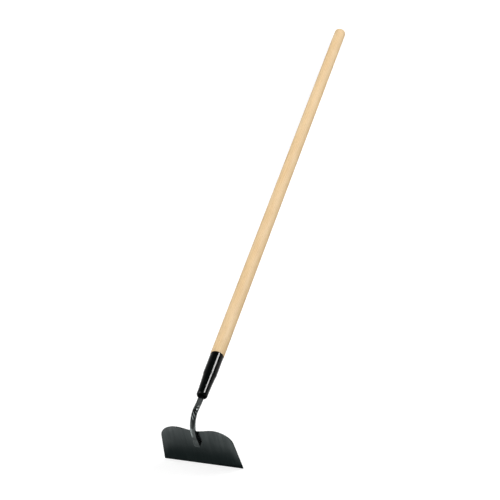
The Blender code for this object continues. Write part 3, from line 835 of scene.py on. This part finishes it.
def thicken_blade():
    """Give the sheet its thickness, grind its edge, soften its arrises and stand it up."""
    bpy.ops.mesh.select_all(action="SELECT")
    bpy.ops.mesh.extrude_region_move(TRANSFORM_OT_translate={"value": (0.0, 0.0, -BLADE_THICKNESS)})
    bpy.ops.mesh.select_all(action="SELECT")
    bpy.ops.mesh.normals_make_consistent(inside=False)
    grind = Vector((0.0, -(BLADE_THICKNESS - EDGE_LAND), GRIND_HEIGHT)).normalized()
    bpy.ops.mesh.bisect(plane_co=(0.0, GRIND_HEIGHT, 0.0), plane_no=tuple(grind),
                        use_fill=True, clear_outer=True)
    bpy.ops.mesh.select_all(action="SELECT")
    bpy.ops.mesh.bevel(offset=ARRIS, segments=ARRIS_STEPS, affect="EDGES", clamp_overlap=True)
    bpy.ops.mesh.select_all(action="SELECT")
    turn(-math.degrees(BLADE_ANGLE))
    bpy.ops.transform.translate(value=tuple(EDGE_PLACE))


def make_weld(name, node, side, material):
    """Fillet weld beside the foot, laid down in overlapping ripples."""
    steps = WELD_RIPPLES * RIPPLE_STEPS
    bpy.ops.object.select_all(action="DESELECT")
    bpy.ops.mesh.primitive_circle_add(vertices=WELD_SIDES, radius=WELD_END_RADIUS)
    weld = open_piece(name)
    radius = WELD_END_RADIUS
    for step in range(1, steps):
        share = step / steps
        swell = math.sqrt(max(WELD_LEAST_SWELL, 1.0 - (abs(share - 0.5) * 2.0) ** 4))
        ripple = 1.0 + WELD_RIPPLE * math.sin(step * 2 * math.pi / RIPPLE_STEPS)
        next_radius = WELD_RADIUS * swell * ripple
        factor = next_radius / radius
        grow((0.0, 0.0, WELD_LENGTH / steps), (0.0, 0.0, WELD_LENGTH * share),
             (factor, factor, 1.0))
        radius = next_radius
    bpy.ops.mesh.edge_face_add()
    pick(weld, lambda place: place.z < HAIR)
    bpy.ops.mesh.edge_face_add()
    bpy.ops.mesh.select_all(action="SELECT")
    turn(90.0 - math.degrees(BLADE_ANGLE))
    half_width = foot_station(WELD_START + WELD_LENGTH / 2)[0]
    corner = EDGE_PLACE + BLADE_UP * (FOOT_PLACE + WELD_START) + BLADE_OUT * WELD_SINK
    bpy.ops.transform.translate(value=(side * half_width, corner.y, corner.z))
    behind = EDGE_PLACE + BLADE_OUT * WELD_BACK
    bpy.ops.mesh.bisect(plane_co=tuple(behind), plane_no=tuple(-BLADE_OUT), use_fill=True,
                        clear_outer=True)
    finish_piece(weld, node, material)


# Studio

FLOOR_SIZE = 60.0
FLOOR_GREY = (0.42, 0.42, 0.42)
FLOOR_ROUGH = 0.9
FLOOR_GLOW = 0.74          # what lifts the seen floor to white
ROOM_LEVEL = 0.88
BRIGHT_SIDE = (-0.6, 0.0, 0.8)

# Each lamp: its width and length, its power, what it points at, which way it lies from there
# and how far off
STRIP_SIDE = Vector((0.605, 0.575, 0.542))
STRIP_LIGHT = ((2.5, 3.0), 2270.0, (0.0, -0.52, 0.11), STRIP_SIDE, 8.0)
KEY_SOFTBOX = ((3.0, 3.0), 262.0, (0.0, 0.0, 0.10), (0.62, 0.35, 0.70), 6.0)
LEFT_SOFTBOX = ((3.6, 1.5), 88.0, (0.0, -0.30, 0.10), (-0.79, 0.0, 0.61), 6.0)
LEFT_STRIP = ((5.2, 4.9), 640.0, (0.0, -0.60, 0.10), (-0.75, -0.16, 0.62), 6.0)

CAMERA_PLACE = (0.73320, -1.80894, 1.99643)
CAMERA_TURN = (42.51208, 9.29626, 14.58620)
CAMERA_LENS = 90.0
CAMERA_FILM = 36.0
CAMERA_CLIP = (0.05, 200.0)


def white_floor():
    """Plain white floor; what the camera sees of it is lifted to white, shadows kept."""
    bpy.ops.object.select_all(action="DESELECT")
    bpy.ops.mesh.primitive_plane_add(size=FLOOR_SIZE, location=(0.0, 0.0, 0.0))
    floor = bpy.context.object
    floor.name = "studio_floor"
    material = bpy.data.materials.new("white_floor")
    material.use_nodes = True
    tree = material.node_tree
    inputs = tree.nodes["Principled BSDF"].inputs
    feed(FLOOR_GREY, inputs["Base Color"])
    inputs["Roughness"].default_value = FLOOR_ROUGH
    inputs["Specular IOR Level"].default_value = 0.0
    feed((1.0, 1.0, 1.0), inputs["Emission Color"])
    rays = add_node(tree, "LightPath").outputs
    seen = calc(tree, "MAXIMUM", rays["Is Camera Ray"], rays["Is Glossy Ray"])
    seen = calc(tree, "MAXIMUM", seen, rays["Is Transmission Ray"])
    feed(calc(tree, "MULTIPLY", seen, FLOOR_GLOW), inputs["Emission Strength"])
    floor.data.materials.append(material)


def pale_room():
    """World: bright high up on the left, greyer low on the right, dark behind the tool."""
    world = bpy.data.worlds.new("pale_room")
    bpy.context.scene.world = world
    world.use_nodes = True
    tree = world.node_tree
    sky = tree.nodes["Background"].inputs
    direction = add_node(tree, "TexCoord").outputs["Generated"]
    level = spread(tree, along_axis(tree, direction, BRIGHT_SIDE), (0.0, 0.8), (0.22, 0.85))
    parts = split(tree, direction)
    behind = between(tree, parts["Y"], (0.30, 0.42), (0.70, 0.80), after=0.3)
    right = spread(tree, parts["X"], (-0.72, -0.45), (0.0, 0.95))
    open_share = calc(tree, "SUBTRACT", 1.0, calc(tree, "MULTIPLY", behind, right))
    feed(calc(tree, "MULTIPLY", level, open_share), sky["Color"])
    sky["Strength"].default_value = ROOM_LEVEL


def soft_lamp(name, settings, across):
    """A rectangular softbox, in a direction from its target, its width along a direction."""
    size, power, target, direction, distance = settings
    light = bpy.data.lights.new(name, "AREA")
    light.shape = "RECTANGLE"
    light.size, light.size_y = size
    light.energy = power
    lamp = bpy.data.objects.new(name, light)
    lamp.visible_camera = False
    bpy.context.scene.collection.objects.link(lamp)
    back = Vector(direction).normalized()
    side = (Vector(across) - back * Vector(across).dot(back)).normalized()
    facing = Matrix((side, back.cross(side), back)).transposed().to_4x4()
    lamp.matrix_world = Matrix.Translation(Vector(target) + back * distance) @ facing
    return lamp


def studio():
    """Floor, room, two softboxes for the form, and two lamps that only show as highlights."""
    white_floor()
    pale_room()
    axis = Vector((0.0, math.cos(TILT), math.sin(TILT)))
    strip = soft_lamp("strip_light", STRIP_LIGHT, axis.cross(STRIP_SIDE))
    strip.visible_diffuse = False
    key = soft_lamp("key_softbox", KEY_SOFTBOX, (1.0, 0.0, 0.0))
    key.visible_glossy = False
    soft_lamp("left_softbox", LEFT_SOFTBOX, (0.0, 1.0, 0.0))
    glint = soft_lamp("left_strip", LEFT_STRIP, (0.0, 1.0, 0.0))
    glint.visible_diffuse = False


def camera():
    """The camera, where the picture was taken from."""
    lens = bpy.data.cameras.new("view_camera")
    lens.lens = CAMERA_LENS
    lens.sensor_width = CAMERA_FILM
    lens.clip_start, lens.clip_end = CAMERA_CLIP
    viewer = bpy.data.objects.new("view_camera", lens)
    viewer.location = CAMERA_PLACE
    viewer.rotation_euler = [math.radians(angle) for angle in CAMERA_TURN]
    bpy.context.scene.collection.objects.link(viewer)
    bpy.context.scene.camera = viewer


def dress():
    """Make every piece of the hoe and its studio."""
    bpy.ops.object.select_all(action="DESELECT")
    make_handle(ash_wood())
    make_ferrule(gloss_enamel())
    make_nail(bright_steel())
    make_neck(neck_paint())
    make_blade(black_steel())
    paint = weld_paint()
    make_weld("left_weld", "weld_left", -1.0, paint)
    make_weld("right_weld", "weld_right", 1.0, paint)
    studio()
    camera()
    bpy.context.scene.view_settings.view_transform = "Standard"


dress()
